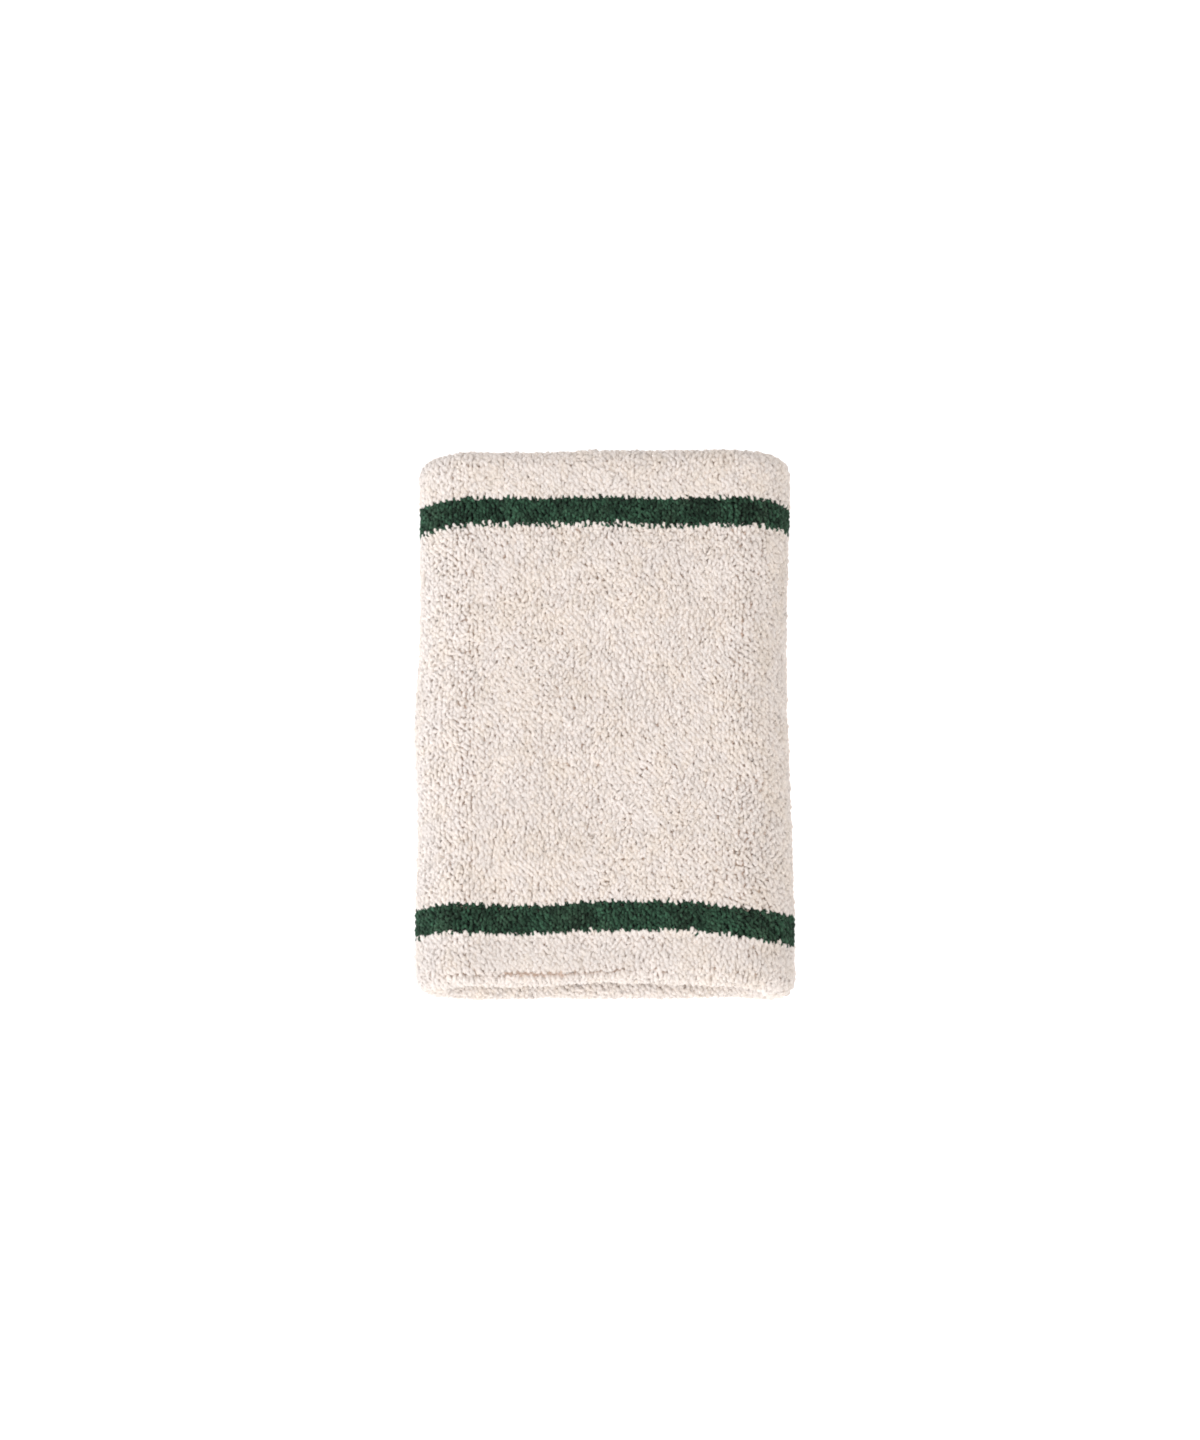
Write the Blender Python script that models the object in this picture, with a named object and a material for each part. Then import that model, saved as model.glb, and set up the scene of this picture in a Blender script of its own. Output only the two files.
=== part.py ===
"""Sweat wristband: a knitted terry tube, folded back into itself and closed, lying flat.

The band is a wide tube with its axis along Y. It lies flattened on its back on Z = 0, so
across the axis it is a long round-ended loop: a flat front, a flat back and two rounded
sides. The wall is doubled. The ground knit runs along the outside, turns over at each
end of the band, and comes back along the inside, where its two raw ends meet at a closing
seam. The pile stands outwards from the ground knit on both faces of the wall, and elastic
thread runs round and round between the two layers.

Every piece is drawn once as a flat section through the wall, and carried round the loop:
a half turn round one side, a straight run, a half turn round the other side, and a
straight run back.

Frame: X across the band, +Y towards the upper end, +Z up. The origin is under the middle
of the band, on the surface that it lies on. Metres.
"""

from math import cos, pi, sin, tau

import bmesh
import bpy
from mathutils import Vector

# --- Driving dimensions ---------------------------------------------------------------
WIDTH = 0.0815  # across the flattened band
LENGTH = 0.118  # from fold to fold, along the axis
HEIGHT = 0.026  # front to back, lying flat

PILE_OUT = 0.0040  # tips of the loops, from the middle of the wall
PILE_IN = 0.0015  # foot of the loops
GROUND_OUT = 0.0012  # ground knit's face under the pile
GROUND_IN = 0.0006  # ground knit's back, towards the hollow in the wall
ELASTIC = 0.0005  # elastic thread's diameter

STRIPE_INNER = 0.0420  # from the middle of the band to a stripe's near border
STRIPE_OUTER = 0.0480  # and to its far border
LINING_END = 0.0520  # where the rolled edge ends, on the inside
SEAM_Y = -0.0390  # the closing seam, on the inside near the lower end
SEAM_SLIT = 0.0018  # between the two raw ends of the ground knit
SEAM_ROOM = 0.0024  # bare strip between the two linings
SEAM_THREAD = 0.0005
SEAM_SWING = 0.00065  # how far the closing thread swings to either side
SEAM_PITCH = 0.0052  # one full stitch of the closing thread

GAP = 0.0003  # clearance between neighbouring pieces
ELASTIC_TURNS = 11

SIDE_STEPS = 16  # facets in each half turn round a side
FOLD_STEPS = 10  # facets in each fold of the pile, at the band's ends
GROUND_FOLD_STEPS = 6  # and in the tighter fold of the ground knit

# --- Derived --------------------------------------------------------------------------
MID_Z = HEIGHT / 2
SIDE_R = HEIGHT / 2 - PILE_OUT  # middle of the wall, round a side
HALF_FLAT = WIDTH / 2 - HEIGHT / 2  # half of each straight run
FOLD_Y = LENGTH / 2 - PILE_OUT  # centre of each fold

CREAM = (0.76, 0.70, 0.64)
CREAM_EDGE = (0.78, 0.73, 0.68)
CREAM_INSIDE = (0.72, 0.66, 0.59)
GREEN = (0.026, 0.052, 0.034)
GROUND = (0.55, 0.46, 0.38)
ELASTIC_WHITE = (0.82, 0.82, 0.80)
SEAM_CREAM = (0.70, 0.64, 0.56)


def clear_scene():
    for obj in list(bpy.data.objects):
        bpy.data.objects.remove(obj, do_unlink=True)


def material(name, colour, roughness):
    made = bpy.data.materials.new(name)
    made.use_nodes = True
    shader = made.node_tree.nodes["Principled BSDF"]
    shader.inputs["Base Color"].default_value = (*colour, 1.0)
    shader.inputs["Roughness"].default_value = roughness
    shader.inputs["Metallic"].default_value = 0.0
    return made


def add_object(name, data, parent, look):
    obj = bpy.data.objects.new(name, data)
    bpy.context.scene.collection.objects.link(obj)
    obj.parent = parent
    data.materials.append(look)
    return obj


# --- Sections through the doubled wall --------------------------------------------------
# A station is (centre_y, angle). At angle 0 it lies on the outer face, at pi on the inner
# face, and between them it turns round the fold whose centre is at centre_y.
def run(y_from, y_to, angle):
    return [(y_from, angle), (y_to, angle)]


def fold(centre_y, angle_from, angle_to, steps=FOLD_STEPS):
    step = (angle_to - angle_from) / steps
    return [(centre_y, angle_from + i * step) for i in range(steps + 1)]


def section(stations, inner, outer):
    """The closed outline, as (offset from mid-wall, y), of a band of the wall between two depths."""

    def side(radius):
        return [(radius * cos(a), y + radius * sin(a)) for y, a in stations]

    return side(outer) + side(inner)[::-1]


def carry_round(name, outline, parent, look):
    """Carries a section round the flattened loop, with spins for the sides and extrusions for the flats."""
    bm = bmesh.new()
    points = [
        bm.verts.new((HALF_FLAT, y, MID_Z + SIDE_R + offset)) for offset, y in outline
    ]
    edges = [
        bm.edges.new((a, b))
        for a, b in zip(points, points[1:] + points[:1], strict=True)
    ]
    last = points + edges
    for side in (1, -1):
        made = bmesh.ops.spin(
            bm,
            geom=last,
            cent=Vector((side * HALF_FLAT, 0, MID_Z)),
            axis=Vector((0, 1, 0)),
            dvec=Vector((0, 0, 0)),
            angle=pi,
            steps=SIDE_STEPS,
            use_merge=False,
            use_duplicate=False,
        )
        rim = [e for e in made["geom_last"] if isinstance(e, bmesh.types.BMEdge)]
        made = bmesh.ops.extrude_edge_only(bm, edges=rim)
        last = [g for g in made["geom"] if not isinstance(g, bmesh.types.BMFace)]
        bmesh.ops.translate(
            bm,
            verts=[g for g in last if isinstance(g, bmesh.types.BMVert)],
            vec=Vector((-2 * side * HALF_FLAT, 0, 0)),
        )
    bmesh.ops.remove_doubles(bm, verts=bm.verts, dist=1e-6)
    bmesh.ops.recalc_face_normals(bm, faces=bm.faces)
    mesh = bpy.data.meshes.new(name)
    bm.to_mesh(mesh)
    bm.free()
    mesh.shade_smooth()
    mesh.set_sharp_from_angle(angle=0.7)
    return add_object(name, mesh, parent, look)


# --- Threads that follow the loop -------------------------------------------------------
def loop_point(along, offset):
    """A point (x, z) at a fraction of the way round the loop, at an offset from mid-wall."""
    flat = 2 * HALF_FLAT
    turn = pi * SIDE_R
    s = (along % 1.0) * 2 * (flat + turn)
    radius = SIDE_R + offset
    if s < turn:
        a = s / SIDE_R
        return HALF_FLAT + radius * sin(a), MID_Z + radius * cos(a)
    s -= turn
    if s < flat:
        return HALF_FLAT - s, MID_Z - radius
    s -= flat
    if s < turn:
        a = s / SIDE_R
        return -HALF_FLAT - radius * sin(a), MID_Z - radius * cos(a)
    return -HALF_FLAT + s - turn, MID_Z + radius


def thread(name, points, thickness, closed, parent, look):
    curve = bpy.data.curves.new(name, "CURVE")
    curve.dimensions = "3D"
    curve.bevel_depth = thickness / 2
    curve.bevel_resolution = 0
    curve.use_fill_caps = True
    spline = curve.splines.new("POLY")
    spline.points.add(len(points) - 1)
    for point, place in zip(spline.points, points, strict=True):
        point.co = (*place, 1.0)
    spline.use_cyclic_u = closed
    return add_object(name, curve, parent, look)


def elastic_points():
    """One long helix, pressed flat with the band, from just inside one fold to the other."""
    flat = 2 * HALF_FLAT
    turn = pi * SIDE_R
    total = 2 * (flat + turn)
    marks = [turn * i / 9 for i in range(10)]
    marks += [turn + flat + turn * i / 9 for i in range(10)]
    reach = FOLD_Y - 0.004
    points = []
    for lap in range(ELASTIC_TURNS):
        for s in marks:
            along = (lap + s / total) / ELASTIC_TURNS
            x, z = loop_point(s / total, 0.0)
            points.append((x, -reach + 2 * reach * along, z))
    return points


def seam_points():
    """The closing thread: a wave round the loop, across the slit between the raw ends."""
    radius = PILE_IN + SEAM_THREAD / 2
    total = 2 * (2 * HALF_FLAT + pi * SIDE_R)
    waves = round(total / SEAM_PITCH)
    steps = 6 * waves
    points = []
    for i in range(steps):
        x, z = loop_point(i / steps, -radius)
        points.append((x, SEAM_Y + SEAM_SWING * sin(tau * waves * i / steps), z))
    return points


# --- Assembly ---------------------------------------------------------------------------
clear_scene()

band = bpy.data.objects.new("wristband", None)
bpy.context.scene.collection.objects.link(band)

half_gap = GAP / 2
seam_low = SEAM_Y - SEAM_ROOM / 2
seam_high = SEAM_Y + SEAM_ROOM / 2

cream = material("cream_terry", CREAM, 0.95)
cream_edge = material("cream_terry_edge", CREAM_EDGE, 0.95)
cream_inside = material("cream_terry_inside", CREAM_INSIDE, 0.95)
green = material("green_terry", GREEN, 0.90)

# Outer face: the wide middle field, and the two stripes.
carry_round(
    "face_terry_centre",
    section(
        run(-STRIPE_INNER + half_gap, STRIPE_INNER - half_gap, 0.0), PILE_IN, PILE_OUT
    ),
    band,
    cream,
)
for name, sign in (("stripe_terry_upper", 1), ("stripe_terry_lower", -1)):
    near, far = (
        sign * (STRIPE_INNER + half_gap),
        sign * (STRIPE_OUTER - half_gap),
    )
    carry_round(
        name,
        section(run(min(near, far), max(near, far), 0.0), PILE_IN, PILE_OUT),
        band,
        green,
    )

# Rolled edges: from each stripe over the fold to the inside.
carry_round(
    "edge_terry_upper",
    section(
        [(STRIPE_OUTER + half_gap, 0.0)]
        + fold(FOLD_Y, 0.0, pi)
        + [(LINING_END + half_gap, pi)],
        PILE_IN,
        PILE_OUT,
    ),
    band,
    cream_edge,
)
carry_round(
    "edge_terry_lower",
    section(
        [(-LINING_END - half_gap, pi)]
        + fold(-FOLD_Y, pi, tau)
        + [(-STRIPE_OUTER - half_gap, tau)],
        PILE_IN,
        PILE_OUT,
    ),
    band,
    cream_edge,
)

# Lining: the pile against the skin, parted by the closing seam.
carry_round(
    "lining_terry_upper",
    section(run(LINING_END - half_gap, seam_high, pi), PILE_IN, PILE_OUT),
    band,
    cream_inside,
)
carry_round(
    "lining_terry_lower",
    section(run(seam_low, -LINING_END + half_gap, pi), PILE_IN, PILE_OUT),
    band,
    cream_inside,
)

# Ground knit: one cloth from raw end to raw end, over both folds.
carry_round(
    "ground_knit",
    section(
        [(SEAM_Y - SEAM_SLIT / 2, pi)]
        + fold(-FOLD_Y, pi, tau, GROUND_FOLD_STEPS)
        + fold(FOLD_Y, 0.0, pi, GROUND_FOLD_STEPS)
        + [(SEAM_Y + SEAM_SLIT / 2, pi)],
        GROUND_IN,
        GROUND_OUT,
    ),
    band,
    material("ground_knit", GROUND, 0.90),
)

thread(
    "elastic_thread",
    elastic_points(),
    ELASTIC,
    False,
    band,
    material("elastic_thread", ELASTIC_WHITE, 0.55),
)
thread(
    "closing_seam_thread",
    seam_points(),
    SEAM_THREAD,
    True,
    band,
    material("closing_seam_thread", SEAM_CREAM, 0.80),
)
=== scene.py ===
"""A long terry sweat wristband lying flat on its back.

The band is made the way it is knitted. One ground knit runs round the outside of the wall,
over the fold at each end and back along the inside, to a closing seam. Each course of pile
is one continuous yarn round the band, which stands up in a loop at every wale. All pieces
are laid on one surface, so whatever bends the wall bends them all together.
"""

from math import cos, pi, radians, sin, tau

import bpy
import numpy as np
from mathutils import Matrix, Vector

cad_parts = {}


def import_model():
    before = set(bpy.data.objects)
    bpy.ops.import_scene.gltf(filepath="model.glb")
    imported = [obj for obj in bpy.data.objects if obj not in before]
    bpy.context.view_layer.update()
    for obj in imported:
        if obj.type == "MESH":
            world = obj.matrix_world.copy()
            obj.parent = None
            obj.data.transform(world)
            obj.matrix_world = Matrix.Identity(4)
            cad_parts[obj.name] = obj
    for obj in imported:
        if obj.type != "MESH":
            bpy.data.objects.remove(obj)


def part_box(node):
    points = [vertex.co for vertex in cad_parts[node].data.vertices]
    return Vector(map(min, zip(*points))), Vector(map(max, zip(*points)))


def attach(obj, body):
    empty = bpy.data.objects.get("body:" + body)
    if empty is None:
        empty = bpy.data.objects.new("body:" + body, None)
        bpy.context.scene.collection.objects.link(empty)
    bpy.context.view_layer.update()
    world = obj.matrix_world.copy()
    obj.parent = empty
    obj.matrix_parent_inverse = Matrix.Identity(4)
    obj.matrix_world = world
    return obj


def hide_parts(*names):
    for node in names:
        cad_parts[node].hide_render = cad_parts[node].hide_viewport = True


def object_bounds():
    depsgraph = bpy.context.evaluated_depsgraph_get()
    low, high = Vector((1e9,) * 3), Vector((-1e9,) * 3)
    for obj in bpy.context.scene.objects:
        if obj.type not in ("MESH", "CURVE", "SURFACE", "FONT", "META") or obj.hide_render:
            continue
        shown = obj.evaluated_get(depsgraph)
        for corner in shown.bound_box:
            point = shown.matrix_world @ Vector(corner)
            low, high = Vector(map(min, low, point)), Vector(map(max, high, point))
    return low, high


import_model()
CAD_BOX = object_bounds()

# --- Sizes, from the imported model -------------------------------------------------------
LOW, HIGH = (np.array(corner, float) for corner in CAD_BOX)
WIDTH, LENGTH, HEIGHT = HIGH - LOW
STRIPE_LOW, STRIPE_HIGH = (
    np.array(corner, float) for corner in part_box("stripe_terry_upper")
)
STRIPE_FROM, STRIPE_TO = STRIPE_LOW[1], STRIPE_HIGH[1]
SEAM_BOX = [np.array(corner, float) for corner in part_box("closing_seam_thread")]
SEAM_Y = float(SEAM_BOX[0][1] + SEAM_BOX[1][1]) / 2

WALL = 0.0040  # half the doubled wall
GROUND_R = 0.0024  # middle of the wall to the face that the loops stand on
GROUND_T = 0.0005  # thickness of the ground knit
MID_Z = HEIGHT / 2
SIDE_R = HEIGHT / 2 - WALL
HALF_FLAT = WIDTH / 2 - HEIGHT / 2
FOLD_Y = LENGTH / 2 - WALL
ROUND = 4 * HALF_FLAT + tau * SIDE_R  # round the band, at mid-wall
STRAIGHT = 2 * FOLD_Y
TURN = pi * GROUND_R
PATH = 2 * (STRAIGHT + TURN)  # along the wall, over both folds and back

WALES = 128
COURSE = 0.00138  # between courses of cream pile
PILE = 0.00138  # from the ground to the middle of the yarn at the top of a loop

rng = np.random.default_rng(20)


# --- The surface of the wall ------------------------------------------------------------
def loop_frame(s):
    """Centre line of the flattened loop at arc length s: point (x, z), outward normal and tangent. s = 0 is the middle of the front, and s grows towards +X."""
    s = np.mod(s, ROUND)
    arc = pi * SIDE_R
    marks = np.cumsum([HALF_FLAT, arc, 2 * HALF_FLAT, arc])
    a = np.where(
        s < marks[0],
        0.0,
        np.where(
            s < marks[1],
            (s - marks[0]) / SIDE_R,
            np.where(
                s < marks[2], pi, np.where(s < marks[3], pi + (s - marks[2]) / SIDE_R, tau)
            ),
        ),
    )
    nx, nz = np.sin(a), np.cos(a)
    cx = np.where(
        s < marks[0],
        s,
        np.where(
            s < marks[1],
            HALF_FLAT,
            np.where(
                s < marks[2],
                HALF_FLAT - (s - marks[1]),
                np.where(s < marks[3], -HALF_FLAT, -HALF_FLAT + (s - marks[3])),
            ),
        ),
    )
    return cx + SIDE_R * nx, MID_Z + SIDE_R * nz, nx, nz, nz, -nx


def wall_frame(q):
    """Ground face at distance q along the wall: offset from mid-wall, y, outward normal and tangent in (offset, y). q = 0 is the middle of the outer face, and q grows towards the upper end, over the fold, and down the inside."""
    q = np.mod(q, PATH)
    marks = np.cumsum([FOLD_Y, TURN, STRAIGHT, TURN])
    a = np.where(
        q < marks[0],
        0.0,
        np.where(
            q < marks[1],
            (q - marks[0]) / GROUND_R,
            np.where(
                q < marks[2],
                pi,
                np.where(q < marks[3], pi + (q - marks[2]) / GROUND_R, tau),
            ),
        ),
    )
    centre = np.where(
        q < marks[0],
        q,
        np.where(
            q < marks[1],
            FOLD_Y,
            np.where(
                q < marks[2],
                FOLD_Y - (q - marks[1]),
                np.where(q < marks[3], -FOLD_Y, -FOLD_Y + (q - marks[3])),
            ),
        ),
    )
    no, ny = np.cos(a), np.sin(a)
    return GROUND_R * no, centre + GROUND_R * ny, no, ny, -ny, no


def q_of_y(y, inside=False):
    """Distance along the wall of a height y on the outer or the inner face."""
    return FOLD_Y + TURN + (FOLD_Y - y) if inside else y


def field(points, seed, scale, waves=28):
    """A smooth random field over points, about -1 to 1, with features of the given size."""
    r = np.random.default_rng(seed)
    k = r.normal(size=(waves, 3)) * (tau / scale) / 1.7
    phase = r.uniform(0, tau, waves)
    return np.cos(points @ k.T + phase).sum(-1) * (2.0 / waves) ** 0.5


def smoothstep(x):
    x = np.clip(x, 0, 1)
    return x * x * (3 - 2 * x)


def bump(x, centre, width):
    return np.exp(-(((x - centre) / width) ** 2))


def relax(points):
    """The small departures from a true shape that a used band has, as a shift of each point."""
    x, y, z = points[..., 0], points[..., 1], points[..., 2]
    front = np.clip((z - MID_Z) / MID_Z, -1, 1)
    out = points.copy()
    side = np.clip(x / (WIDTH / 2), -1, 1)
    # The right side is drawn in a little above the middle, and the band widens at its lower end.
    out[..., 0] -= 0.00085 * np.clip(side, 0, 1) ** 2 * bump(y, 0.018, 0.026)
    out[..., 0] += 0.00045 * side * bump(y, -0.043, 0.018)
    out[..., 0] -= 0.0013 * np.clip(-side, 0, 1) ** 2 * bump(y, -0.001, 0.014)
    # The ends aren't quite straight.
    end = np.clip(np.abs(y) / (LENGTH / 2), 0, 1) ** 6
    out[..., 1] += (
        end
        * np.where(
            y > 0,
            0.0005 * bump(x, 0.017, 0.010) - 0.0004 * bump(x, 0.036, 0.012),
            -0.0006 * bump(x, -0.024, 0.013) - 0.0008 * smoothstep((x - 0.026) / 0.009),
        )
    )
    # The lower stripe droops towards its right end.
    droop = smoothstep((x - 0.012) / 0.026) * bump(y, -0.045, 0.011)
    out[..., 1] -= 0.0021 * droop * np.clip(front + 0.6, 0, 1)
    # At the lower end the front of the wall ends a little short of the back.
    lower = np.clip((-y - 0.042) / (LENGTH / 2 - 0.042), 0, 1) ** 2
    short = 0.0005 + 0.0010 * bump(x, -0.012, 0.020)
    out[..., 1] += short * lower * np.clip(front * 1.4, 0, 1)
    out[..., 2] -= 0.0014 * lower * smoothstep((x - 0.002) / 0.022) * np.clip(front, 0, 1)
    # Courses wander slightly, most of all at the sides.
    out[..., 1] += 0.00028 * field(points * [1, 0.35, 1], 5, 0.030)
    # The front has low swells, and the back stays on what it lies on.
    swell = 0.00050 * field(points * [1, 0.8, 0.2], 9, 0.034) + 0.0006 * (
        1 - (x / HALF_FLAT) ** 2
    ).clip(0, 1) * (1 - (y / (LENGTH / 2)) ** 2).clip(0, 1)
    out[..., 2] += swell * np.clip(front + 0.25, 0, 1.25)
    return out


def bare_wall(s, q, lift=0.0):
    """The wall before it settles: points at lift above the ground face, with the outward normal, the direction along the wall and the direction round the band."""
    s, q = np.broadcast_arrays(np.asarray(s, float), np.asarray(q, float))
    cx, cz, nx, nz, tx, tz = loop_frame(s)
    o, y, no, ny, to, ty = wall_frame(q)
    o = o + lift * no
    y = y + lift * ny
    points = np.stack([cx + nx * o, y, cz + nz * o], -1)
    normal = np.stack([nx * no, ny, nz * no], -1)
    along = np.stack([nx * to, ty, nz * to], -1)
    round_ = np.stack([tx, np.zeros_like(tx), tz], -1)
    return points, normal, along, round_


# --- How the wall settles: a cloth simulation -------------------------------------------
SIM_ROUND, SIM_ALONG = 96, 132  # points of the cloth round the band and along the wall
SIM_SCALE = 5.0  # cloth is simulated at this scale, where the solver is at home
SIM_CAP = 0.0016  # the furthest that a point may settle from its place


def settle():
    """Inflates the doubled wall softly over the elastic that draws it in, and gives how far each point of its grid moves."""
    s = ROUND * np.arange(SIM_ROUND) / SIM_ROUND
    q = PATH * np.arange(SIM_ALONG) / SIM_ALONG
    rest = bare_wall(s[:, None], q[None])[0]
    ripple = np.random.default_rng(7).normal(0, 0.00006, rest.shape)
    i, j = np.meshgrid(np.arange(SIM_ROUND), np.arange(SIM_ALONG), indexing="ij")

    def vertex(i, j):
        return (i % SIM_ROUND) * SIM_ALONG + j % SIM_ALONG

    faces = np.stack(
        [vertex(i, j), vertex(i + 1, j), vertex(i + 1, j + 1), vertex(i, j + 1)], -1
    ).reshape(-1, 4)
    mesh = bpy.data.meshes.new("wall_cloth")
    mesh.from_pydata(
        ((rest + ripple) * SIM_SCALE).reshape(-1, 3).tolist(), [], faces.tolist()
    )
    cloth = bpy.data.objects.new("wall_cloth", mesh)
    bpy.context.scene.collection.objects.link(cloth)
    # The elastic draws in the middle of the band, and leaves the folded ends alone.
    y = rest[..., 1].reshape(-1)
    drawn = cloth.vertex_groups.new(name="drawn")
    weight = np.exp(-((y / 0.036) ** 4))
    for index, w in enumerate(weight):
        drawn.add([index], float(w), "REPLACE")
    # The inside rests on itself, so it holds its place more than the outside does.
    held = cloth.vertex_groups.new(name="held")
    held.add(list(range(len(y))), 0.2, "REPLACE")
    inner = (np.mod(q, PATH) > FOLD_Y + TURN) & (q < FOLD_Y + TURN + STRAIGHT)
    for index in np.flatnonzero(np.broadcast_to(inner[None], i.shape).reshape(-1)):
        held.add([int(index)], 0.7, "REPLACE")
    sim = cloth.modifiers.new("settle", "CLOTH")
    settings = sim.settings
    settings.quality = 6
    settings.mass = 0.25
    settings.tension_stiffness = 12
    settings.compression_stiffness = 12
    settings.shear_stiffness = 4
    settings.bending_stiffness = 0.4
    settings.vertex_group_mass = "held"
    settings.pin_stiffness = 1.0
    settings.vertex_group_shrink = "drawn"
    settings.shrink_min = 0.0
    settings.shrink_max = 0.012
    settings.use_pressure = True
    settings.uniform_pressure_force = 8.0
    settings.effector_weights.gravity = 0.0
    sim.collision_settings.use_collision = False
    sim.point_cache.frame_start = 1
    sim.point_cache.frame_end = 20
    scene = bpy.context.scene
    for frame_number in range(1, 21):
        scene.frame_set(frame_number)
    evaluated = cloth.evaluated_get(bpy.context.evaluated_depsgraph_get())
    co = np.empty(len(mesh.vertices) * 3, np.float32)
    evaluated.data.vertices.foreach_get("co", co)
    moved = co.reshape(SIM_ROUND, SIM_ALONG, 3) / SIM_SCALE - rest
    bpy.data.objects.remove(cloth, do_unlink=True)
    bpy.data.meshes.remove(mesh)
    scene.frame_set(1)
    for _ in range(2):
        moved = (
            moved * 2
            + np.roll(moved, 1, 0)
            + np.roll(moved, -1, 0)
            + np.roll(moved, 1, 1)
            + np.roll(moved, -1, 1)
        ) / 6
    # The band keeps its measured width and length: only the way it settles is kept.
    for axis in (0, 1):
        place = rest[..., axis]
        drawn_in = (moved[..., axis] * place).sum() / (place * place).sum()
        moved[..., axis] -= drawn_in * place
    moved -= moved.mean((0, 1))
    far = np.linalg.norm(moved, axis=-1, keepdims=True)
    print(f"settled: {far.mean() * 1000:.2f} mm on average, {far.max() * 1000:.2f} mm at most")
    return moved * np.minimum(1, SIM_CAP / np.maximum(far, 1e-9))


SETTLED = settle()


def settled_by(s, q):
    """How far the settled wall lies from the bare one, between the points of the simulated cloth."""
    u = np.mod(s / ROUND, 1) * SIM_ROUND
    v = np.mod(q / PATH, 1) * SIM_ALONG
    i, j = np.floor(u).astype(int), np.floor(v).astype(int)
    fu, fv = (u - i)[..., None], (v - j)[..., None]
    i, j = i % SIM_ROUND, j % SIM_ALONG
    i1, j1 = (i + 1) % SIM_ROUND, (j + 1) % SIM_ALONG
    return (
        SETTLED[i, j] * (1 - fu) * (1 - fv)
        + SETTLED[i1, j] * fu * (1 - fv)
        + SETTLED[i, j1] * (1 - fu) * fv
        + SETTLED[i1, j1] * fu * fv
    )


def surface(s, q, lift=0.0):
    """The wall as it lies: points at lift above the ground face, with the outward normal, the direction along the wall and the direction round the band."""
    s, q = np.broadcast_arrays(np.asarray(s, float), np.asarray(q, float))
    points, normal, along, round_ = bare_wall(s, q, lift)
    return relax(points + settled_by(s, q)), normal, along, round_


# --- Meshes from arrays -----------------------------------------------------------------
def unit(v):
    return v / np.maximum(np.linalg.norm(v, axis=-1, keepdims=True), 1e-12)


def quads_mesh(name, verts, quads, uv, colours, lay=None):
    """One smooth mesh of quads, with a colour and the lay of the cloth at each point, and a map for its bake."""
    mesh = bpy.data.meshes.new(name)
    mesh.vertices.add(len(verts))
    mesh.vertices.foreach_set("co", np.ascontiguousarray(verts, np.float32).ravel())
    mesh.loops.add(quads.size)
    mesh.loops.foreach_set("vertex_index", quads.astype(np.int32).ravel())
    mesh.polygons.add(len(quads))
    mesh.polygons.foreach_set("loop_start", np.arange(len(quads), dtype=np.int32) * 4)
    mesh.polygons.foreach_set("use_smooth", np.ones(len(quads), dtype=bool))
    layer = mesh.uv_layers.new(name="OFBake")
    layer.uv.foreach_set("vector", np.ascontiguousarray(uv, np.float32).ravel())
    attribute = mesh.color_attributes.new("yarn", "FLOAT_COLOR", "POINT")
    attribute.data.foreach_set(
        "color", np.ascontiguousarray(colours, np.float32).ravel()
    )
    if lay is not None:
        facing = mesh.attributes.new("lay", "FLOAT_VECTOR", "POINT")
        facing.data.foreach_set("vector", np.ascontiguousarray(lay, np.float32).ravel())
    mesh.update(calc_edges=True)
    obj = bpy.data.objects.new(name, mesh)
    bpy.context.scene.collection.objects.link(obj)
    return obj


def joined(name, parts):
    """One mesh from several (verts, quads, uv, colours, lay), each with its own strip of the map."""
    count = np.cumsum([0] + [len(part[0]) for part in parts])
    strip = 1.0 / len(parts)
    return quads_mesh(
        name,
        np.concatenate([part[0] for part in parts]),
        np.concatenate([part[1] + n for part, n in zip(parts, count)]),
        np.concatenate(
            [(part[2] + [0, i]) * [1, strip] for i, part in enumerate(parts)]
        ),
        np.concatenate([part[3] for part in parts]),
        np.concatenate([part[4] for part in parts]),
    )


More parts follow.
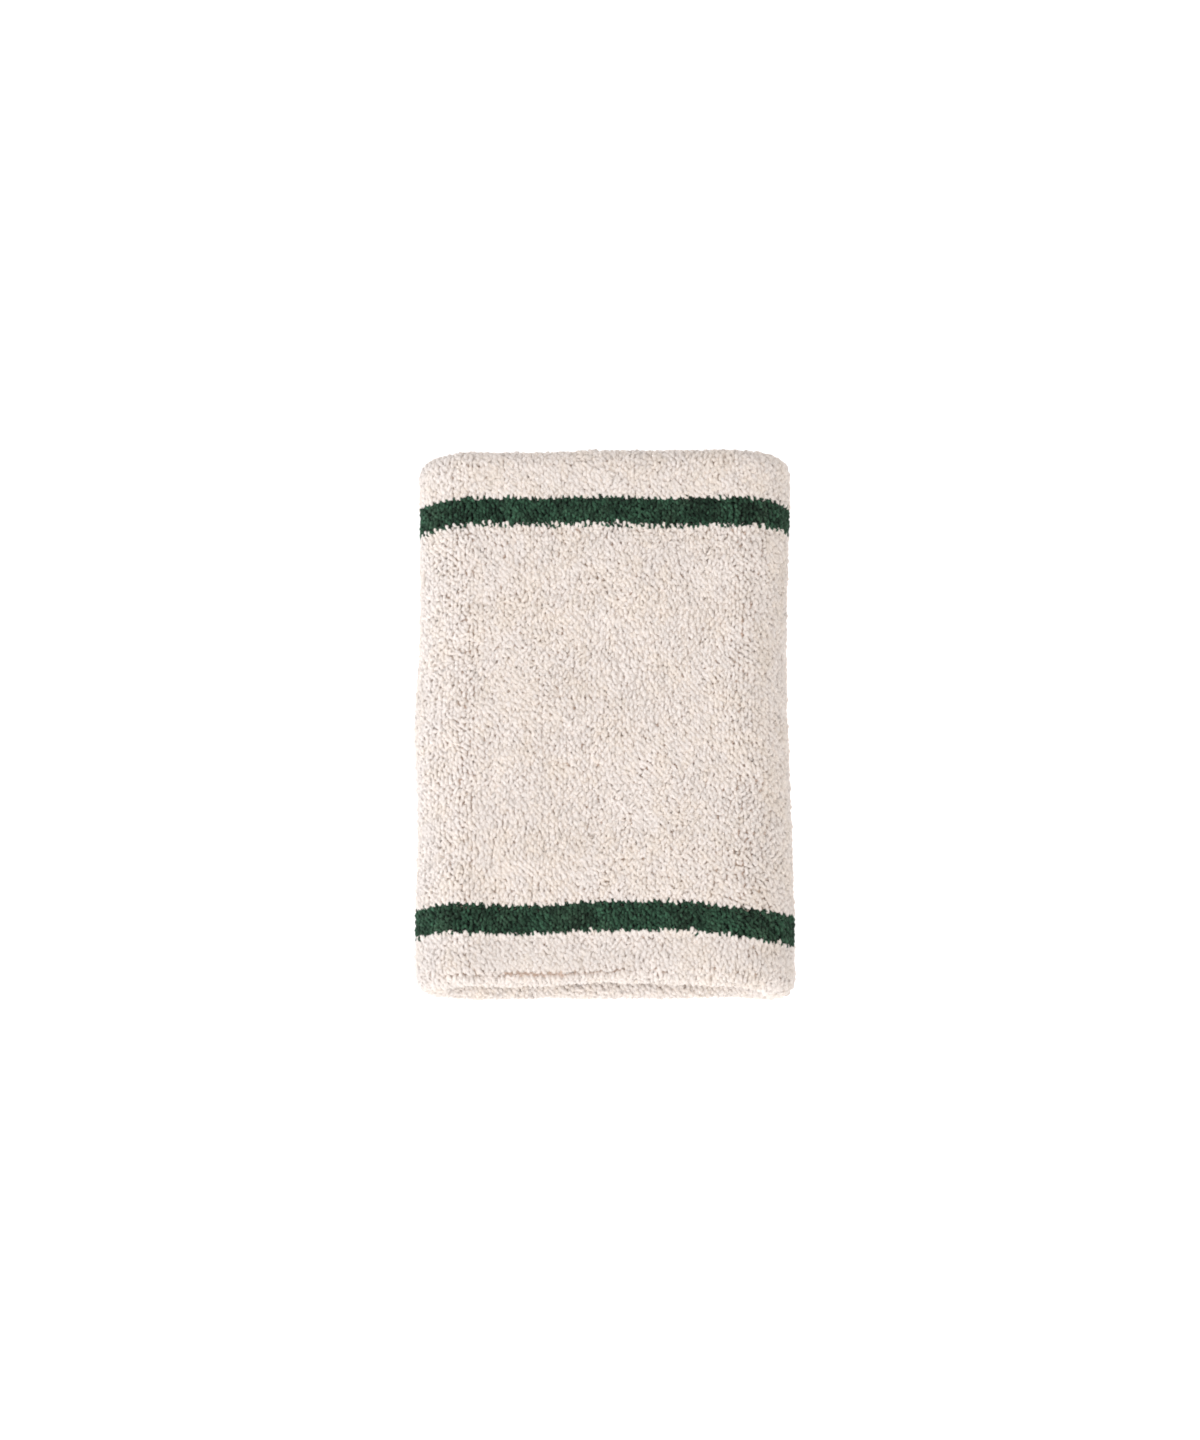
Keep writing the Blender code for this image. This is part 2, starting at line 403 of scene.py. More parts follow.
def tubes(centres, radius, sides, colours, lay, cell_steps):
    """Closed ring tubes, one for each row of centres (rows, points, 3), with a radius, a colour and the lay of the cloth at each point. cell_steps points share one cell of the map."""
    rows, n = centres.shape[:2]
    tangent = unit(np.roll(centres, -1, 1) - np.roll(centres, 1, 1))
    side = np.empty_like(centres)
    side[:, 0] = unit(np.cross(tangent[:, 0], [0.31, 0.77, 0.55]))
    for i in range(1, n):
        b, t = side[:, i - 1], tangent[:, i]
        side[:, i] = unit(b - (b * t).sum(-1, keepdims=True) * t)
    # The frame comes back turned, so the turn is shared out along the ring.
    last, t0 = side[:, -1], tangent[:, 0]
    arrived = unit(last - (last * t0).sum(-1, keepdims=True) * t0)
    up0 = np.cross(t0, side[:, 0])
    gap = np.arctan2((arrived * up0).sum(-1), (arrived * side[:, 0]).sum(-1))
    up = np.cross(tangent, side)
    turn = -gap[:, None] * np.arange(n) / n
    angle = turn[..., None] + tau * np.arange(sides) / sides
    r = radius[..., None, None]
    verts = (
        centres[:, :, None]
        + r * np.cos(angle)[..., None] * side[:, :, None]
        + r * np.sin(angle)[..., None] * up[:, :, None]
    )
    i, k, m = np.meshgrid(
        np.arange(rows), np.arange(n), np.arange(sides), indexing="ij"
    )

    def vertex(k, m):
        return (i * n + k % n) * sides + m % sides

    quads = np.stack(
        [vertex(k, m), vertex(k, m + 1), vertex(k + 1, m + 1), vertex(k + 1, m)], -1
    ).reshape(-1, 4)
    # The map is a grid of cells, one for each loop of yarn.
    cells_in_row = n // cell_steps
    cell = (i * cells_in_row + k // cell_steps).ravel()
    across = int(np.ceil((rows * cells_in_row) ** 0.5))
    along = (k % cell_steps).ravel() / cell_steps
    round_ = m.ravel() / sides
    da, dr = 1 / cell_steps, 1 / sides
    u = np.stack([along, along, along + da, along + da], -1)
    v = np.stack([round_, round_ + dr, round_ + dr, round_], -1)
    u = (cell % across)[:, None] + 0.08 + 0.84 * u
    v = (cell // across)[:, None] + 0.08 + 0.84 * v
    uv = np.stack([u, v], -1) / across
    shades = np.broadcast_to(colours[:, :, None], (rows, n, sides, 4))
    lays = np.broadcast_to(lay[:, :, None], (rows, n, sides, 3))
    return (
        verts.reshape(-1, 3),
        quads,
        uv.reshape(-1, 2),
        shades.reshape(-1, 4),
        lays.reshape(-1, 3),
    )


# --- Pile -------------------------------------------------------------------------------
# Where each point of one loop lies: angle over the arch, from the first leg to the second.
ARCH = np.radians([0, 32, 62, 90, 118, 148, 180])
ARCH_LOW = np.radians([0, 38, 72, 108, 142, 180])
ARCH_BED = np.radians([0, 60, 120, 180])
ARCH_LINING = np.radians([0, 45, 90, 135, 180])


def over_border(q):
    """1 in the courses just below a stripe, which lean up over its border, and 0 elsewhere."""
    borders = np.array([STRIPE_FROM - 0.0006, -STRIPE_TO])
    below = borders - q[..., None]
    return (np.exp(-((below / 0.0020) ** 2)) * (below > 0)).sum(-1)


def parted(q, x):
    """Courses part along a line on the lower fold, where the wall starts to turn."""
    line = -0.0562 + 0.0003 * np.sin(x * 260)
    where = 0.05 + 0.62 * bump(x, -0.012, 0.017)
    away = q - line
    near = where * np.exp(-((away / 0.0014) ** 2))
    return q + 0.00075 * np.sign(away) * near, near


def end_of_yarn(
    rows_q,
    height,
    yarn,
    spread,
    lean,
    scatter,
    arch,
    sides,
    seed,
    phase=0.5,
    jitter=0.08,
    painted_shade=0.0,
    flat=0.55,
):
    """Courses of looped yarn at distances rows_q along the wall. Each course is one yarn that goes round the band: up one leg, over, down the other leg, and on through the ground to the next wale."""
    r = np.random.default_rng(seed)
    rows, steps = len(rows_q), len(arch)
    pitch = ROUND / WALES
    shape = (rows, WALES)
    s = (np.arange(WALES)[None] + phase + r.normal(0, jitter, shape)) * pitch
    q = rows_q[:, None] + r.normal(0, 0.10, shape) * COURSE
    x = surface(s, q)[0][..., 0]
    q, parting = parted(q, x)
    foot, normal, along, round_ = surface(s, q)
    # Neighbouring loops lean and turn alike in some places and scatter in others.
    calm = (
        0.42
        + 0.42 * field(foot, 31, 0.030)
        + 0.35 * bump(x, WIDTH * 0.42, 0.020)
        + 0.35 * bump(x, -WIDTH * 0.25, 0.016) * bump(foot[..., 1], -0.034, 0.014)
    ).clip(0, 1)
    spin = (
        (0.16 * field(foot, 33, 0.012) - 0.20)
        + (1.0 - 0.55 * calm) * scatter * r.normal(0, 1, shape)
    )
    h = height * (1 + 0.05 * r.normal(0, 1, shape) + 0.05 * field(foot, 35, 0.0035))
    h = h * (1 - 0.15 * parting)
    h = np.clip(h, 0.4 * height, 1.20 * height)
    a = spread * (1 + 0.15 * r.normal(0, 1, shape)).clip(0.6, 1.4)
    down = lean * (1 + 0.40 * r.normal(0, 1, shape)) * (1 - 2.6 * over_border(q))
    aside = height * 0.14 * (r.normal(0, 1, shape) + 0.8 * field(foot, 37, 0.013))
    thick = yarn * (1 + 0.07 * r.normal(0, 1, shape)).clip(0.8, 1.25)

    phi = arch[None, None]
    rise = np.sin(phi).clip(0, 1) ** flat
    # The legs stand side by side in the course, and the loop turns on itself as it rises.
    heading = (0.5 * pi + spin[..., None]) * smoothstep(rise * 1.35)
    reach = a[..., None] * np.cos(phi) * (0.55 + 0.9 * np.sin(phi)).clip(0, 1.15)
    centre = (
        foot[:, :, None]
        + normal[:, :, None] * (rise * h[..., None] - 0.00015)[..., None]
        - round_[:, :, None] * (reach * np.cos(heading))[..., None]
        + along[:, :, None] * (reach * np.sin(heading))[..., None]
        - along[:, :, None] * (down[..., None] * rise**1.6)[..., None]
        + round_[:, :, None] * (aside[..., None] * rise**1.6)[..., None]
    )
    size = thick[..., None] * (0.80 + 0.20 * rise)
    centre = centre.reshape(rows, WALES * steps, 3)
    size = size.reshape(rows, WALES * steps)
    # The back lies on the surface: no yarn goes below it.
    floor = size * 0.92
    z = centre[..., 2] - floor
    centre[..., 2] = floor + np.where(
        z > 0.0004, z, 0.0004 * np.exp(np.minimum((z - 0.0004) / 0.0004, 0))
    )
    # Painted light and shade on the folds: the crest of each fold is painted paler, as a painted highlight, and the
    # front's slope down to the lower fold is painted darker, as painted shade.
    from_middle = np.abs(foot[..., 1])
    painted_fold_shading = 0.35 * smoothstep((from_middle - 0.0565) / 0.0015) - 0.45 * bump(
        foot[..., 1], -0.0525, 0.0032
    ) * (normal[..., 2] > 0.3)
    # Tone of each loop: random variation, plus the painted light and shade of the folds, less the painted shade given
    # to the deeper layers.
    tone = (
        0.5
        + painted_fold_shading
        - painted_shade
        + 0.15 * r.normal(0, 1, shape)
        + 0.08 * field(foot, 41, 0.009)
        + 0.12 * field(foot, 45, 0.0035, 60)
    )
    warm = 0.5 + 0.14 * r.normal(0, 1, shape) + 0.18 * field(foot, 43, 0.006)
    # Height in the loop, which the material paints darker towards the foot, and darker still along the parting, as
    # painted shade in its crease.
    level = (rise * h[..., None] / PILE - 0.35 * parting[..., None]).clip(0, 1)
    colours = np.stack(
        [
            np.broadcast_to(tone[..., None], (*shape, steps)),
            level,
            np.broadcast_to(warm[..., None], (*shape, steps)),
            np.ones((*shape, steps)),
        ],
        -1,
    ).clip(0, 1)
    return tubes(
        centre,
        size,
        sides,
        colours.reshape(rows, WALES * steps, 4),
        np.repeat(normal, steps, axis=1),
        steps,
    )


def pile(name, rows_q, height, yarn, spread, lean, scatter, seed, fill=True):
    """A stretch of pile: the loops that stand highest, the ones between them, and a low bed of short ones that closes the gaps."""
    rows_q = np.asarray(rows_q, float)
    if not fill:
        return joined(
            name,
            [
                end_of_yarn(
                    rows_q, height, yarn, spread, lean, scatter, ARCH_LINING, 4, seed
                )
            ],
        )
    step = np.gradient(rows_q).mean() if len(rows_q) > 1 else COURSE
    # The lower layers get a darker tone: painted shade for loops that stand deeper in the pile.
    layers = [
        end_of_yarn(rows_q, height, yarn, spread, lean, scatter, ARCH, 5, seed),
        end_of_yarn(
            rows_q + step / 2,
            height * 0.93,
            yarn,
            spread * 1.05,
            lean * 0.9,
            scatter * 1.3,
            ARCH_LOW,
            5,
            seed + 1000,
            phase=0.0,
            jitter=0.10,
            painted_shade=0.02,
        ),
    ]
    for n, (across, up) in enumerate(((0.0, 0.0), (0.5, 0.5))):
        layers.append(
            end_of_yarn(
                rows_q + step * up,
                height * 0.88,
                yarn * 1.18,
                spread * 0.95,
                lean * 0.6,
                scatter,
                ARCH_BED,
                4,
                seed + 2000 + 1000 * n,
                phase=across,
                painted_shade=0.04,
                flat=0.4,
            )
        )
    return joined(name, layers)


def courses(q_from, q_to, pitch):
    """Evenly spaced courses that fill a stretch of the wall, at about the pitch."""
    n = max(1, round((q_to - q_from) / pitch))
    return q_from + (np.arange(n) + 0.5) * (q_to - q_from) / n


# --- Materials --------------------------------------------------------------------------
def nodes_of(material):
    material.use_nodes = True
    tree = material.node_tree
    tree.nodes.clear()
    return tree, tree.nodes.new, tree.links.new


def yarn_material(
    name,
    root,
    deep,
    tip,
    warm,
    roughness,
    sheen,
    glow,
    fuzz=0.25,
    grain=4200.0,
    soft=0.6,
    mottle=0.05,
    vary=(0.92, 1.05),
):
    """Soft spun yarn: darker and warmer towards the foot of each loop, as painted shade in the hollows of the pile,
    with a tone of its own for each loop.
    """
    material = bpy.data.materials.new(name)
    tree, node, link = nodes_of(material)
    out = node("ShaderNodeOutputMaterial")
    shader = node("ShaderNodeBsdfPrincipled")
    link(shader.outputs["BSDF"], out.inputs["Surface"])
    shader.inputs["Roughness"].default_value = roughness
    shader.inputs["Specular IOR Level"].default_value = 0.08
    shader.inputs["Sheen Weight"].default_value = sheen
    shader.inputs["Sheen Roughness"].default_value = 0.6
    # Light soaks through thin, loosely spun yarn.
    shader.inputs["Subsurface Weight"].default_value = glow
    shader.inputs["Subsurface Radius"].default_value = (1.0, 0.9, 0.8)
    shader.inputs["Subsurface Scale"].default_value = 0.0008
    yarn = node("ShaderNodeAttribute")
    yarn.attribute_name = "yarn"
    parts = node("ShaderNodeSeparateColor")
    link(yarn.outputs["Color"], parts.inputs["Color"])
    # Colour by height in the loop: the darker, warmer foot is painted shade.
    ramp = node("ShaderNodeValToRGB")
    link(parts.outputs["Green"], ramp.inputs["Fac"])
    ramp.color_ramp.elements[0].position = 0.15
    ramp.color_ramp.elements[0].color = (*root, 1)
    ramp.color_ramp.elements[1].position = 0.95
    ramp.color_ramp.elements[1].color = (*tip, 1)
    middle = ramp.color_ramp.elements.new(0.6)
    middle.color = (*deep, 1)
    tint = node("ShaderNodeMix")
    tint.data_type = "RGBA"
    tint.blend_type = "MIX"
    tint.inputs[7].default_value = (*warm, 1)
    link(ramp.outputs["Color"], tint.inputs[6])
    amount = node("ShaderNodeMapRange")
    amount.inputs["From Min"].default_value = 0.35
    amount.inputs["From Max"].default_value = 0.95
    amount.inputs["To Max"].default_value = 0.7
    link(parts.outputs["Blue"], amount.inputs["Value"])
    link(amount.outputs["Result"], tint.inputs[0])
    shade = node("ShaderNodeMapRange")
    shade.inputs["To Min"].default_value = vary[0]
    shade.inputs["To Max"].default_value = vary[1]
    link(parts.outputs["Red"], shade.inputs["Value"])
    coordinates = node("ShaderNodeTexCoord")
    noise = node("ShaderNodeTexNoise")
    noise.inputs["Scale"].default_value = grain
    noise.inputs["Detail"].default_value = 3.0
    link(coordinates.outputs["Object"], noise.inputs["Vector"])
    fleck = node("ShaderNodeMapRange")
    fleck.inputs["From Min"].default_value = 0.3
    fleck.inputs["From Max"].default_value = 0.7
    fleck.inputs["To Min"].default_value = 0.93
    fleck.inputs["To Max"].default_value = 1.06
    link(noise.outputs["Fac"], fleck.inputs["Value"])
    # Slubs: the yarn's own thick and thin, light and dark, along its length.
    slub = node("ShaderNodeTexNoise")
    slub.inputs["Scale"].default_value = 1350.0
    slub.inputs["Detail"].default_value = 1.0
    link(coordinates.outputs["Object"], slub.inputs["Vector"])
    uneven = node("ShaderNodeMapRange")
    uneven.inputs["From Min"].default_value = 0.30
    uneven.inputs["From Max"].default_value = 0.70
    uneven.inputs["To Min"].default_value = 1 - mottle
    uneven.inputs["To Max"].default_value = 1 + 0.6 * mottle
    link(slub.outputs["Fac"], uneven.inputs["Value"])
    own_tone = node("ShaderNodeMath")
    own_tone.operation = "MULTIPLY"
    link(shade.outputs["Result"], own_tone.inputs[0])
    link(uneven.outputs["Result"], own_tone.inputs[1])
    both = node("ShaderNodeMath")
    both.operation = "MULTIPLY"
    link(own_tone.outputs["Value"], both.inputs[0])
    link(fleck.outputs["Result"], both.inputs[1])
    scale = node("ShaderNodeVectorMath")
    scale.operation = "SCALE"
    link(tint.outputs[2], scale.inputs[0])
    link(both.outputs["Value"], scale.inputs["Scale"])
    link(scale.outputs["Vector"], shader.inputs["Base Color"])
    # Loose fibres round each strand catch the light much as the cloth as a whole does.
    lay = node("ShaderNodeAttribute")
    lay.attribute_name = "lay"
    own = node("ShaderNodeNewGeometry")
    mixed = node("ShaderNodeMix")
    mixed.data_type = "VECTOR"
    mixed.inputs[0].default_value = soft
    link(own.outputs["Normal"], mixed.inputs[4])
    link(lay.outputs["Vector"], mixed.inputs[5])
    facing = node("ShaderNodeVectorMath")
    facing.operation = "NORMALIZE"
    link(mixed.outputs[1], facing.inputs[0])
    bumps = node("ShaderNodeBump")
    bumps.inputs["Strength"].default_value = fuzz
    bumps.inputs["Distance"].default_value = 0.0002
    link(noise.outputs["Fac"], bumps.inputs["Height"])
    link(facing.outputs["Vector"], bumps.inputs["Normal"])
    link(bumps.outputs["Normal"], shader.inputs["Normal"])
    return material


CREAM = yarn_material(
    "cream_cotton_loops",
    root=(0.84, 0.67, 0.57),
    deep=(0.85, 0.76, 0.70),
    tip=(0.86, 0.78, 0.725),
    warm=(0.86, 0.755, 0.66),
    roughness=0.95,
    sheen=0.08,
    glow=0.0,
    soft=0.45,
)
LINING = yarn_material(
    "cream_cotton_lining",
    root=(0.48, 0.37, 0.28),
    deep=(0.66, 0.56, 0.47),
    tip=(0.76, 0.69, 0.62),
    warm=(0.74, 0.62, 0.51),
    roughness=0.95,
    sheen=0.2,
    glow=0.0,
)
GREEN = yarn_material(
    "green_cotton_loops",
    root=(0.002, 0.007, 0.004),
    deep=(0.005, 0.018, 0.010),
    tip=(0.031, 0.079, 0.046),
    warm=(0.038, 0.071, 0.043),
    roughness=0.85,
    sheen=0.05,
    glow=0.0,
    soft=0.0,
    mottle=0.45,
    vary=(0.35, 1.65),
)


def knit_material():
    """Fine plain knit: ribs of small stitches, in a tan ground yarn darker than the pile: the darkness is painted shade
    for the gaps between the loops, where the ground shows.
    """
    material = bpy.data.materials.new("ground_knit_cloth")
    tree, node, link = nodes_of(material)
    out = node("ShaderNodeOutputMaterial")
    shader = node("ShaderNodeBsdfPrincipled")
    link(shader.outputs["BSDF"], out.inputs["Surface"])
    shader.inputs["Roughness"].default_value = 0.9
    shader.inputs["Sheen Weight"].default_value = 0.15
    yarn = node("ShaderNodeAttribute")
    yarn.attribute_name = "yarn"
    parts = node("ShaderNodeSeparateColor")
    link(yarn.outputs["Color"], parts.inputs["Color"])
    ramp = node("ShaderNodeValToRGB")
    link(parts.outputs["Red"], ramp.inputs["Fac"])
    ramp.color_ramp.elements[0].color = (0.68, 0.53, 0.42, 1)
    ramp.color_ramp.elements[1].color = (0.80, 0.66, 0.55, 1)
    # Under the stripes the ground is knitted from the stripe's own yarn.
    stripe = node("ShaderNodeMix")
    stripe.data_type = "RGBA"
    stripe.inputs[7].default_value = (0.012, 0.030, 0.019, 1)
    link(parts.outputs["Blue"], stripe.inputs[0])
    link(ramp.outputs["Color"], stripe.inputs[6])
    link(stripe.outputs[2], shader.inputs["Base Color"])
    coordinates = node("ShaderNodeTexCoord")
    noise = node("ShaderNodeTexNoise")
    noise.inputs["Scale"].default_value = 3000
    link(coordinates.outputs["Object"], noise.inputs["Vector"])
    bumps = node("ShaderNodeBump")
    bumps.inputs["Strength"].default_value = 0.4
    bumps.inputs["Distance"].default_value = 0.0002
    link(noise.outputs["Fac"], bumps.inputs["Height"])
    link(bumps.outputs["Normal"], shader.inputs["Normal"])
    return material


# --- Ground knit ------------------------------------------------------------------------
def ground():
    """The ground knit as one thin closed cloth, open at the closing seam."""
    around, along = 240, 200
    seam = q_of_y(SEAM_Y, inside=True)
    q = seam + 0.0006 + (PATH - 0.0012) * np.arange(along) / (along - 1)
    s = ROUND * np.arange(around) / around
    face, *_ = surface(s[:, None], q[None], 0.0)
    back, *_ = surface(s[:, None], q[None], -GROUND_T)
    shell = np.concatenate([face, back[:, ::-1]], 1)  # round the section
    shell[..., 2] = np.maximum(shell[..., 2], 0.0009)
    n = shell.shape[1]
    i, j = np.meshgrid(np.arange(around), np.arange(n), indexing="ij")

    def vertex(i, j):
        return (i % around) * n + j % n

    quads = np.stack(
        [vertex(i, j), vertex(i, j + 1), vertex(i + 1, j + 1), vertex(i + 1, j)], -1
    ).reshape(-1, 4)
    u0, v0 = i / around, j / n
    u1, v1 = (i + 1) / around, (j + 1) / n
    uv = np.stack(
        [np.stack([u0, v0], -1), np.stack([u0, v1], -1), np.stack([u1, v1], -1), np.stack([u1, v0], -1)],
        2,
    ).reshape(-1, 2)
    tone = 0.5 + 0.25 * np.sin(tau * WALES * i / around / 2) + 0.2 * rng.normal(size=i.shape)
    q_all = np.concatenate([q, q[::-1]])[j]
    y_out = np.where(q_all > PATH / 2, q_all - PATH, q_all)
    green = (np.abs(y_out) > STRIPE_FROM - 0.0002) & (np.abs(y_out) < STRIPE_TO + 0.0002)
    colours = np.stack([tone, tone, green * 1.0, np.ones_like(tone)], -1).clip(0, 1)
    return quads_mesh(
        "ground_cloth", shell.reshape(-1, 3), quads, uv, colours.reshape(-1, 4)
    )


ground_cloth = ground()
ground_cloth.data.materials.append(knit_material())

# --- Build the pile ---------------------------------------------------------------------
pieces = {}  # CAD node to the pieces that stand for it


def lay(node, slot, material, stem, rows, parts=1, **kind):
    for index, group in enumerate(np.array_split(rows, parts)):
        name = f"{stem}_{index + 1}" if parts > 1 else stem
        piece = pile(name, group, seed=len(pieces) * 50 + index + 1, **kind)
        piece.data.materials.append(material)
        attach(piece, "root")
        pieces.setdefault(node, []).append(piece)
    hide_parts(node)


face = dict(height=PILE, yarn=0.00040, spread=0.00050, lean=0.00045, scatter=0.50)
stripe = dict(height=PILE * 1.04, yarn=0.00031, spread=0.00042, lean=0.00022, scatter=0.45)
edge = dict(height=PILE, yarn=0.00042, spread=0.00052, lean=0.00040, scatter=0.50)
lining = dict(
    height=PILE, yarn=0.00038, spread=0.00055, lean=0.00045, scatter=0.45, fill=False
)
edge_end = FOLD_Y + TURN + 0.003
OVERHANG = 0.0009  # how far the cream loops hang over a stripe's inner border
seam_q = q_of_y(SEAM_Y, inside=True)

lay(
    "face_terry_centre",
    "cream_terry",
    CREAM,
    "face_loops",
    courses(OVERHANG - STRIPE_FROM, STRIPE_FROM - OVERHANG, COURSE),
    parts=9,
    **face,
)
for which, sign in (("upper", 1), ("lower", -1)):
    lay(
        f"stripe_terry_{which}",
        "green_terry",
        GREEN,
        f"stripe_loops_{which}",
        courses(*sorted((sign * (STRIPE_FROM - OVERHANG), sign * STRIPE_TO)), 0.00105),
        **stripe,
    )
    lay(
        f"edge_terry_{which}",
        "cream_terry",
        CREAM,
        f"edge_loops_{which}",
        courses(*sorted((sign * STRIPE_TO, sign * edge_end)), COURSE * 0.84),
        parts=3,
        **edge,
    )
lay(
    "lining_terry_upper",
    "cream_lining",
    LINING,
    "lining_loops_upper",
    courses(edge_end, seam_q - 0.0013, COURSE * 1.08),
    parts=2,
    **lining,
)
lay(
    "lining_terry_lower",
    "cream_lining",
    LINING,
    "lining_loops_lower",
    courses(seam_q + 0.0013, PATH - edge_end, COURSE * 1.08),
    **lining,
)


# --- Closing seam and elastic -----------------------------------------------------------
def seam():
    """The overlock that closes the band: two looper threads that cross the slit from one raw end to the other, and a needle thread along each end."""
    waves, steps = 66, 12
    n = waves * steps
    k = np.arange(n)
    turn = tau * k / steps
    s = ROUND * k / n
    rows_q, lifts, shares = [], [], []
    for side in (1, -1):
        # A looper reaches across the slit, and the two pass over and under each other.
        wave = side * np.sin(turn)
        wave = wave * (1 - 0.18 * wave**2)
        rows_q.append(seam_q + 0.00118 * wave + 0.00005 * np.sin(turn * 0.37 + side))
        lifts.append(0.00038 + 0.00013 * side * np.cos(2 * turn + 0.4))
        shares.append(0.00016)
        # A needle thread runs along the end in short stitches, and dips at each hole.
        rows_q.append(seam_q + side * 0.00068 + 0.00003 * np.sin(turn))
        lifts.append(0.00034 + 0.00020 * np.cos(turn + 0.5 * pi * side))
        shares.append(0.00014)
    q = np.stack(rows_q)
    lift = np.stack(lifts)
    centre, normal, *_ = surface(np.broadcast_to(s, q.shape), q, lift)
    radius = np.broadcast_to(np.array(shares)[:, None], q.shape) * (
        1 + 0.05 * np.sin(turn * 2.6)
    )
    tone = 0.5 + 0.10 * np.sin(turn * 0.21)[None] + 0.05 * rng.normal(size=q.shape)
    # Height above the cloth: the thread's material paints it darker where it dips low, as painted shade.
    level = np.clip(0.45 + lift / 0.0011, 0, 1)
    colours = np.stack([tone, level, 0.5 + 0 * tone, np.ones_like(tone)], -1).clip(0, 1)
    return joined("seam_overlock", [tubes(centre, radius, 6, colours, normal, steps)])


def covered_elastic():
    """Rubber core wrapped in white thread: fine slanted wraps that come from where they lie along it."""
    material = bpy.data.materials.new("covered_elastic")
    tree, node, link = nodes_of(material)
    out = node("ShaderNodeOutputMaterial")
    shader = node("ShaderNodeBsdfPrincipled")
    link(shader.outputs["BSDF"], out.inputs["Surface"])
    shader.inputs["Roughness"].default_value = 0.62
    shader.inputs["Sheen Weight"].default_value = 0.2
    coordinates = node("ShaderNodeTexCoord")
    wraps = node("ShaderNodeTexWave")
    wraps.bands_direction = "DIAGONAL"
    wraps.inputs["Scale"].default_value = 900.0
    wraps.inputs["Distortion"].default_value = 1.5
    wraps.inputs["Detail"].default_value = 1.0
    link(coordinates.outputs["Object"], wraps.inputs["Vector"])
    ramp = node("ShaderNodeValToRGB")
    link(wraps.outputs["Fac"], ramp.inputs["Fac"])
    ramp.color_ramp.elements[0].color = (0.56, 0.55, 0.52, 1)
    ramp.color_ramp.elements[1].color = (0.84, 0.83, 0.80, 1)
    link(ramp.outputs["Color"], shader.inputs["Base Color"])
    bumps = node("ShaderNodeBump")
    bumps.inputs["Strength"].default_value = 0.5
    bumps.inputs["Distance"].default_value = 0.0001
    link(wraps.outputs["Fac"], bumps.inputs["Height"])
    link(bumps.outputs["Normal"], shader.inputs["Normal"])
    return material


SEAM_YARN = yarn_material(
    "polyester_seam_thread",
    root=(0.42, 0.34, 0.26),
    deep=(0.66, 0.58, 0.49),
    tip=(0.80, 0.74, 0.66),
    warm=(0.76, 0.67, 0.57),
    roughness=0.55,
    sheen=0.15,
    glow=0.0,
    fuzz=0.15,
    grain=6000.0,
    soft=0.0,
    mottle=0.05,
)
seam_overlock = seam()
seam_overlock.data.materials.append(SEAM_YARN)
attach(seam_overlock, "root")
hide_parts("closing_seam_thread")
pieces["closing_seam_thread"] = [seam_overlock]


def elastic_turns():
    """The elastic, round and round at mid-wall from just inside one fold to the other, with its two ends cut square."""
    laps, steps, sides = 11, 96, 6
    n = laps * steps
    k = np.arange(n)
    reach = FOLD_Y - 0.004
    y = -reach + 2 * reach * k / (n - 1)
    centre = surface(ROUND * k / steps, y, -GROUND_R)[0][None]
    radius = 0.00024 * (1 + 0.05 * np.sin(k * 1.7))[None]
    tone = 0.5 + 0.12 * rng.normal(size=(1, n))
    colours = np.stack([tone, 0.9 + 0 * tone, tone, np.ones_like(tone)], -1).clip(0, 1)
    verts, quads, uv, shades, lays = tubes(
        centre, radius, sides, colours, unit(centre - centre.mean(1)), steps
    )
    # The ring opens between its last point and its first, and each end is closed.
    first, last = 0, (n - 1) * sides
    caps = [
        [first, first + 3, first + 2, first + 1],
        [first, first + 5, first + 4, first + 3],
        [last, last + 1, last + 2, last + 3],
        [last, last + 3, last + 4, last + 5],
    ]
    quads = np.concatenate([quads[:-sides], caps])
    uv = np.concatenate([uv[: -4 * sides], uv[: 4 * len(caps)]])
    return quads_mesh("elastic_turns", verts, quads, uv, shades, lays)


elastic = elastic_turns()
elastic.data.materials.append(covered_elastic())
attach(elastic, "root")
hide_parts("elastic_thread")
pieces["elastic_thread"] = [elastic]

# --- Declarations -----------------------------------------------------------------------
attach(ground_cloth, "root")
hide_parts("ground_knit")


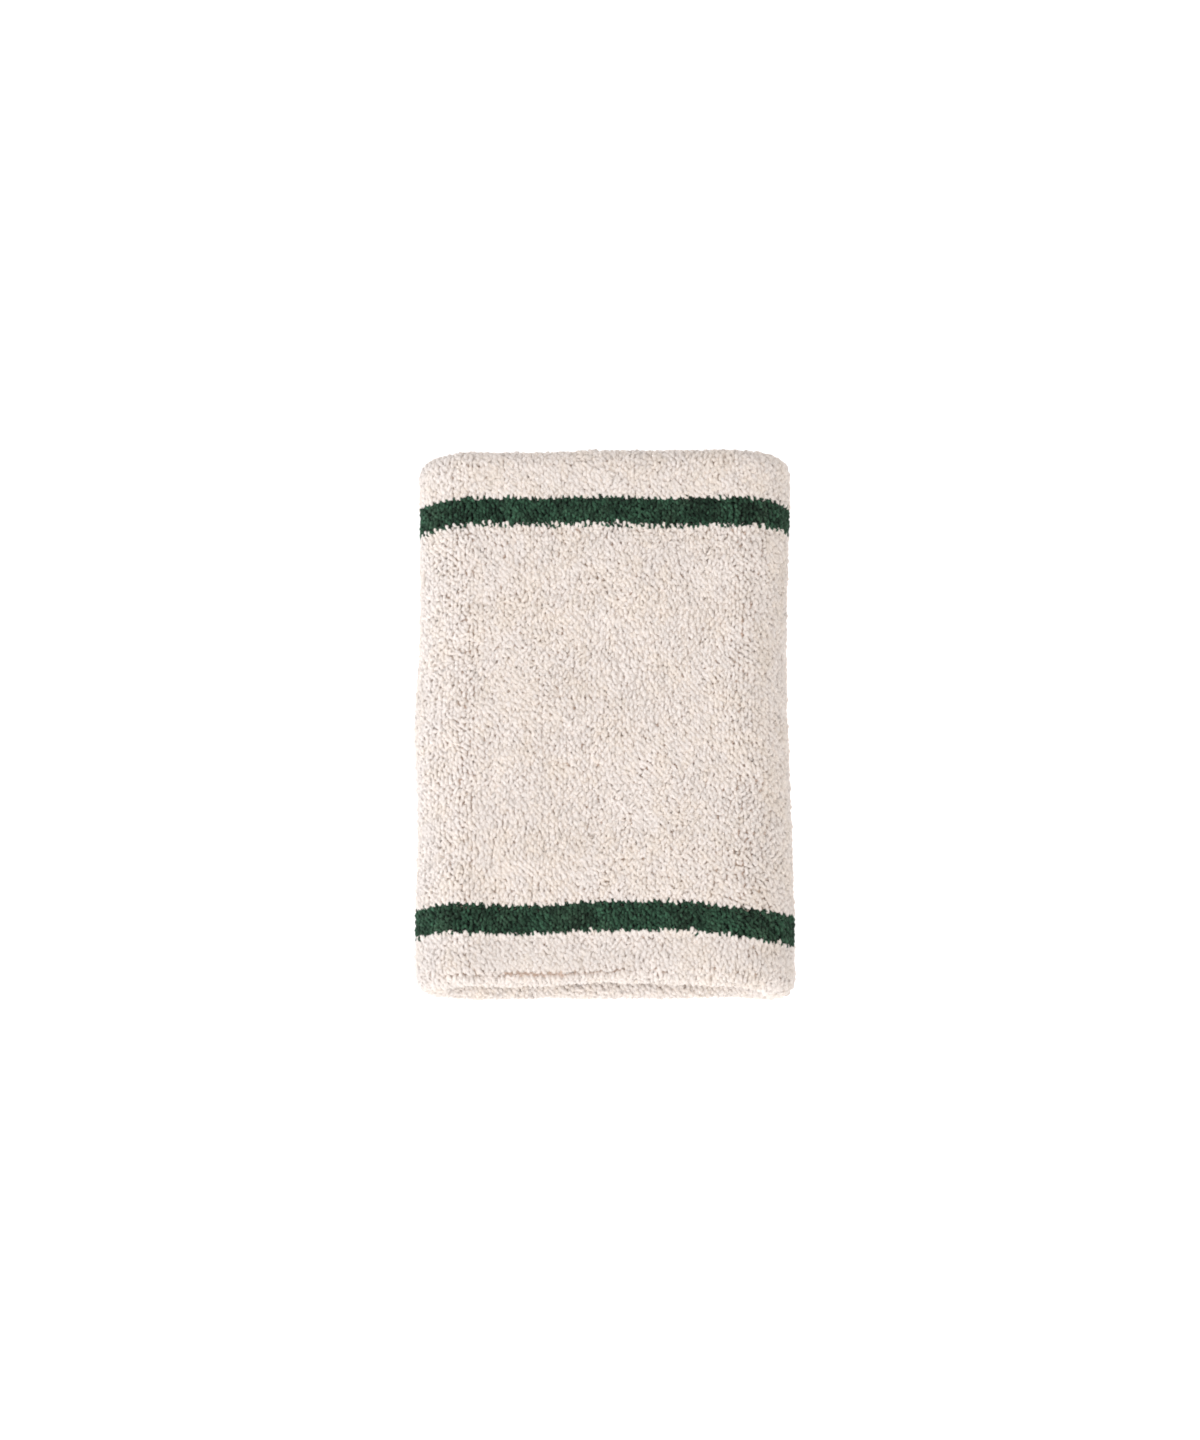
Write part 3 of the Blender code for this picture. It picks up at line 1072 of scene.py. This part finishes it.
# --- Stage ------------------------------------------------------------------------------
def floor():
    mesh = bpy.data.meshes.new("floor")
    half = 3.0
    mesh.from_pydata(
        [(-half, -half, 0), (half, -half, 0), (half, half, 0), (-half, half, 0)],
        [],
        [(0, 1, 2, 3)],
    )
    obj = bpy.data.objects.new("floor", mesh)
    obj.location.z = -0.0002
    bpy.context.scene.collection.objects.link(obj)
    material = bpy.data.materials.new("floor_white")
    tree, node, link = nodes_of(material)
    out = node("ShaderNodeOutputMaterial")
    shader = node("ShaderNodeBsdfPrincipled")
    shader.inputs["Base Color"].default_value = (0.94, 0.94, 0.94, 1)
    shader.inputs["Emission Color"].default_value = (1, 1, 1, 1)
    shader.inputs["Emission Strength"].default_value = 0.40
    shader.inputs["Roughness"].default_value = 0.9
    shader.inputs["Specular IOR Level"].default_value = 0.1
    link(shader.outputs["BSDF"], out.inputs["Surface"])
    mesh.materials.append(material)


def area_light(name, place, aim, size, power, colour=(1, 1, 1)):
    light = bpy.data.lights.new(name, "AREA")
    light.shape = "DISK"
    light.size = size
    light.energy = power
    light.color = colour
    obj = bpy.data.objects.new(name, light)
    obj.location = place
    obj.rotation_euler = (Vector(aim) - Vector(place)).to_track_quat("-Z", "Y").to_euler()
    bpy.context.scene.collection.objects.link(obj)


def world():
    made = bpy.data.worlds.new("studio")
    made.use_nodes = True
    background = made.node_tree.nodes["Background"]
    background.inputs["Color"].default_value = (1.0, 1.0, 1.0, 1)
    background.inputs["Strength"].default_value = 0.60
    bpy.context.scene.world = made


def camera():
    elevation = radians(80)
    distance = 1.2
    aim = Vector((-0.0011, 0.0010, MID_Z))
    direction = Vector((0, -cos(elevation), sin(elevation)))
    data = bpy.data.cameras.new("camera")
    data.sensor_fit = "VERTICAL"
    data.sensor_height = 36
    data.sensor_width = 30
    data.lens = 137.5
    obj = bpy.data.objects.new("camera", data)
    obj.location = aim + distance * direction
    obj.rotation_euler = (-direction).to_track_quat("-Z", "Y").to_euler()
    bpy.context.scene.collection.objects.link(obj)
    bpy.context.scene.camera = obj


floor()
world()
area_light("key_left", (-1.15, -0.2, 0.85), (0, 0, 0.01), 2.8, 8.3, (0.91, 0.965, 1.05))
area_light("top_soft", (0.26, -0.28, 1.56), (0, 0, 0), 1.2, 9.5, (1.0, 0.981, 0.973))
area_light("rim_left", (-1.1, -0.15, 0.24), (0, 0, 0.01), 1.6, 6.4, (0.93, 0.972, 1.04))
area_light("front_soft", (-0.1, -1.3, 0.13), (0, 0, 0.01), 1.4, 6.6)
camera()
bpy.context.scene.cycles.max_bounces = 24
bpy.context.scene.cycles.diffuse_bounces = 16
bpy.context.scene.cycles.filter_width = 1.9  # loose fibres blur each yarn's edge
view = bpy.context.scene.view_settings
view.view_transform = "Standard"
view.look = "None"
view.exposure = 0.0
view.gamma = 1.0
